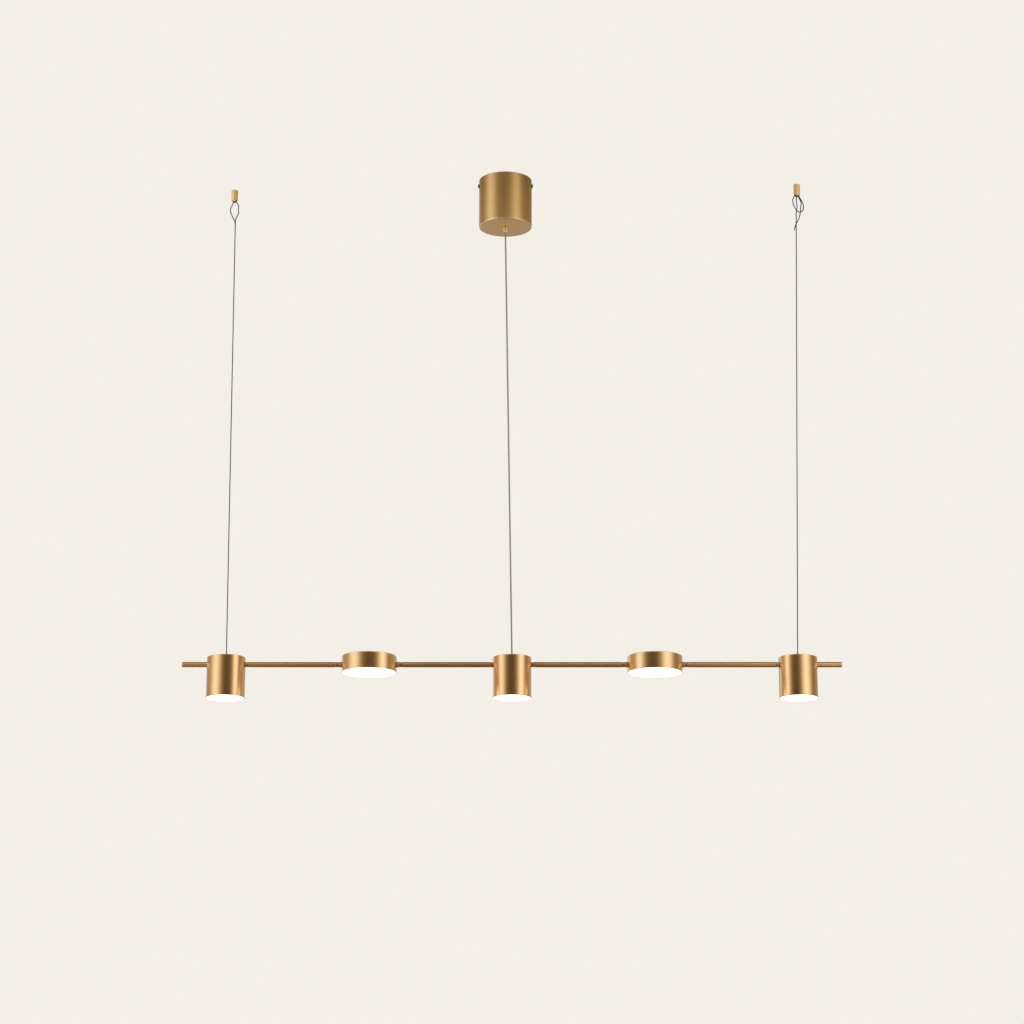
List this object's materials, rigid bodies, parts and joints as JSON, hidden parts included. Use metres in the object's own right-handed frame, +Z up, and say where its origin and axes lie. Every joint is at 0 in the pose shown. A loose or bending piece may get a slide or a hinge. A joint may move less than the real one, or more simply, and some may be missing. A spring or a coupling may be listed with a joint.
{
  "type": "linear island pendant",
  "caption": "Linear pendant: a slim bar with tall spots and shallow swivelling drums, hung on two looped steel wires, with its supply cord running up to a deep round canopy.",
  "frame": {"origin": "middle of the ceiling strap's top face, in the plane of the ceiling", "axes": "+X along the bar, to the right for a viewer on the -Y side; +Z up"},
  "size_m": [1.2, 0.1, 1.003],
  "materials": {
    "brushed_brass": "brushed and lacquered",
    "canopy_brass": "brushed and lacquered, deeper than the heads",
    "gold_brass": "bright turned brass",
    "bronze_screw": "dark bronze plating",
    "zinc_steel": "zinc plated",
    "steel_wire": "bare stranded steel",
    "cord_sheath": "smoke-grey sheath",
    "cable_sheath": "white sheath",
    "driver_white": "moulded white",
    "terminal_cream": "moulded cream",
    "lead_insulation": "brown, blue and green-yellow insulation",
    "aluminium": "satin",
    "led_board": "white solder mask",
    "reflector_white": "white",
    "opal_diffuser": "lit opal acrylic"
  },
  "bodies": {
    "ceiling_set": {"ceiling_bracket": "zinc_steel", "canopy_cup": "canopy_brass", "canopy_side_screws": "bronze_screw", "bracket_screws": "zinc_steel", "terminal_block": "terminal_cream", "mains_leads": "lead_insulation", "driver_case": "driver_white", "driver_cover": "driver_white", "gland_body": "gold_brass", "gland_cap": "gold_brass", "gland_nut": "gold_brass", "inner_cord": "cord_sheath", "ceiling_anchor_left": "gold_brass", "ceiling_anchor_right": "gold_brass", "wire_loop_left": "steel_wire", "wire_loop_right": "steel_wire", "anchor_set_screws": "zinc_steel"},
    "hanging_lines": {"suspension_wire_left": "steel_wire", "suspension_wire_right": "steel_wire", "flex_cord": "cord_sheath"},
    "light_bar": {"hollow_nipples": "zinc_steel", "lock_nuts": "zinc_steel", "spot_necks": "brushed_brass", "swivel_rings": "brushed_brass", "swivel_collars": "brushed_brass", "swivel_washers": "zinc_steel", "bar_tube_outer_left": "brushed_brass", "bar_tube_inner_left": "brushed_brass", "bar_tube_inner_right": "brushed_brass", "bar_tube_outer_right": "brushed_brass", "bar_stub_left": "brushed_brass", "bar_stub_right": "brushed_brass", "bar_end_plugs": "brushed_brass", "bar_wiring": "cable_sheath", "splice_block": "terminal_cream", "spot_left_shell": "brushed_brass", "spot_middle_shell": "brushed_brass", "spot_right_shell": "brushed_brass", "spot_left_diffuser": "opal_diffuser", "spot_middle_diffuser": "opal_diffuser", "spot_right_diffuser": "opal_diffuser", "spot_heat_sinks": "aluminium", "spot_led_boards": "led_board", "spot_board_screws": "zinc_steel", "spot_reflectors": "reflector_white", "wire_studs": "gold_brass", "wire_stud_nuts": "zinc_steel", "cord_bush": "gold_brass"},
    "drum_left": {"drum_left_shell": "brushed_brass", "drum_left_plate": "aluminium", "drum_left_led_board": "led_board", "drum_left_screws": "zinc_steel", "drum_left_lead": "cable_sheath", "drum_left_diffuser": "opal_diffuser"},
    "drum_right": {"drum_right_shell": "brushed_brass", "drum_right_plate": "aluminium", "drum_right_led_board": "led_board", "drum_right_screws": "zinc_steel", "drum_right_lead": "cable_sheath", "drum_right_diffuser": "opal_diffuser"}
  },
  "joints": [
    {"name": "swing", "type": "hinge", "parent": "ceiling_set", "child": "hanging_lines", "pos_m": [0, 0, -0.104], "axis": [1, 0, 0], "range_deg": [-15, 15]},
    {"name": "height_adjust", "type": "slide", "parent": "hanging_lines", "child": "light_bar", "axis": [0, 0, 1], "range_m": [0, 0.5], "deforming": ["suspension_wire_left", "suspension_wire_right", "flex_cord"]},
    {"name": "drum_left_tilt", "type": "hinge", "parent": "light_bar", "child": "drum_left", "pos_m": [-0.2475, 0, -0.941], "axis": [1, 0, 0], "range_deg": [-165, 165]},
    {"name": "drum_right_tilt", "type": "hinge", "parent": "light_bar", "child": "drum_right", "pos_m": [0.2725, 0, -0.941], "axis": [1, 0, 0], "range_deg": [-165, 165]}
  ]
}
